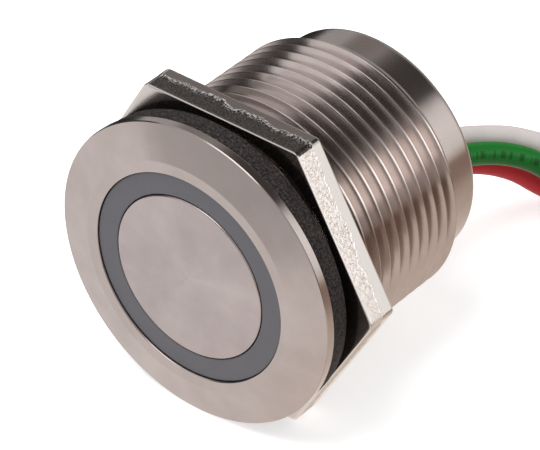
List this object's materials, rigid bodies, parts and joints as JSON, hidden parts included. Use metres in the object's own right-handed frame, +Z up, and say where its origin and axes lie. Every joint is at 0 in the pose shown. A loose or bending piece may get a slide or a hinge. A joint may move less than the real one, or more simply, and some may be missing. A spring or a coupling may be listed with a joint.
{
  "type": "pushbutton switch",
  "caption": "Round flush metal pushbutton switch with a lit ring, threaded barrel, foam gasket, hexagon nut and coloured flying leads; the button springs back.",
  "frame": {"origin": "on the barrel's axis at the flange's back face, where the panel seats", "axes": "+Y along the barrel from the front to the leads, so the button's face looks towards -Y; +Z up with the nut resting on a flat; +X to the right seen from the front"},
  "size_m": [0.0447, 0.043, 0.022],
  "materials": {
    "stainless": "circularly turned satin face, plain turned barrel",
    "foam": "closed-cell foam, fine speckle",
    "nickel": "nickel plate, sheared flats",
    "diffuser": "smoke-grey translucent, unlit",
    "silicone": "matte",
    "black_rubber": "matte",
    "acetal": "moulded",
    "spring_steel": "drawn wire",
    "white_board": "white board mask",
    "led": "clear yellow lens",
    "contact_brass": "drawn",
    "black_moulding": "moulded",
    "copper_alloy": "stamped",
    "brown_moulding": "moulded thermoset",
    "green_board": "board mask",
    "black_chip": "moulded",
    "copper": "stranded, tinned over",
    "solder": "bright",
    "resin": "cast, level",
    "white_pvc": "smooth insulation",
    "green_pvc": "smooth insulation",
    "red_pvc": "smooth insulation"
  },
  "bodies": {
    "switch": {"housing": "stainless", "panel_gasket": "foam", "hex_nut": "nickel", "light_ring": "diffuser", "ring_seal": "silicone", "return_spring": "spring_steel", "light_board": "white_board", "lights": "led", "light_pins": "contact_brass", "contact_block": "black_moulding", "contact_base": "brown_moulding", "contact_common": "contact_brass", "contact_working": "contact_brass", "terminal_board": "green_board", "resistor": "black_chip", "lead_cores": "copper", "solder_joints": "solder", "potting": "resin", "lead_white": "white_pvc", "lead_green": "green_pvc", "lead_red": "red_pvc", "coil_white": "white_pvc", "coil_green": "green_pvc", "coil_red": "red_pvc"},
    "button": {"button_cap": "stainless", "button_seal": "black_rubber", "plunger": "acetal", "contact_bridge": "copper_alloy", "contact_spring": "spring_steel", "bridge_clip": "spring_steel"}
  },
  "joints": [
    {"name": "button_press", "type": "slide", "parent": "switch", "child": "button", "axis": [0, 1, 0], "range_m": [0, 0.001], "stiffness_N_per_m": 1500, "springref_m": -0.001, "deforming": ["return_spring"]}
  ]
}
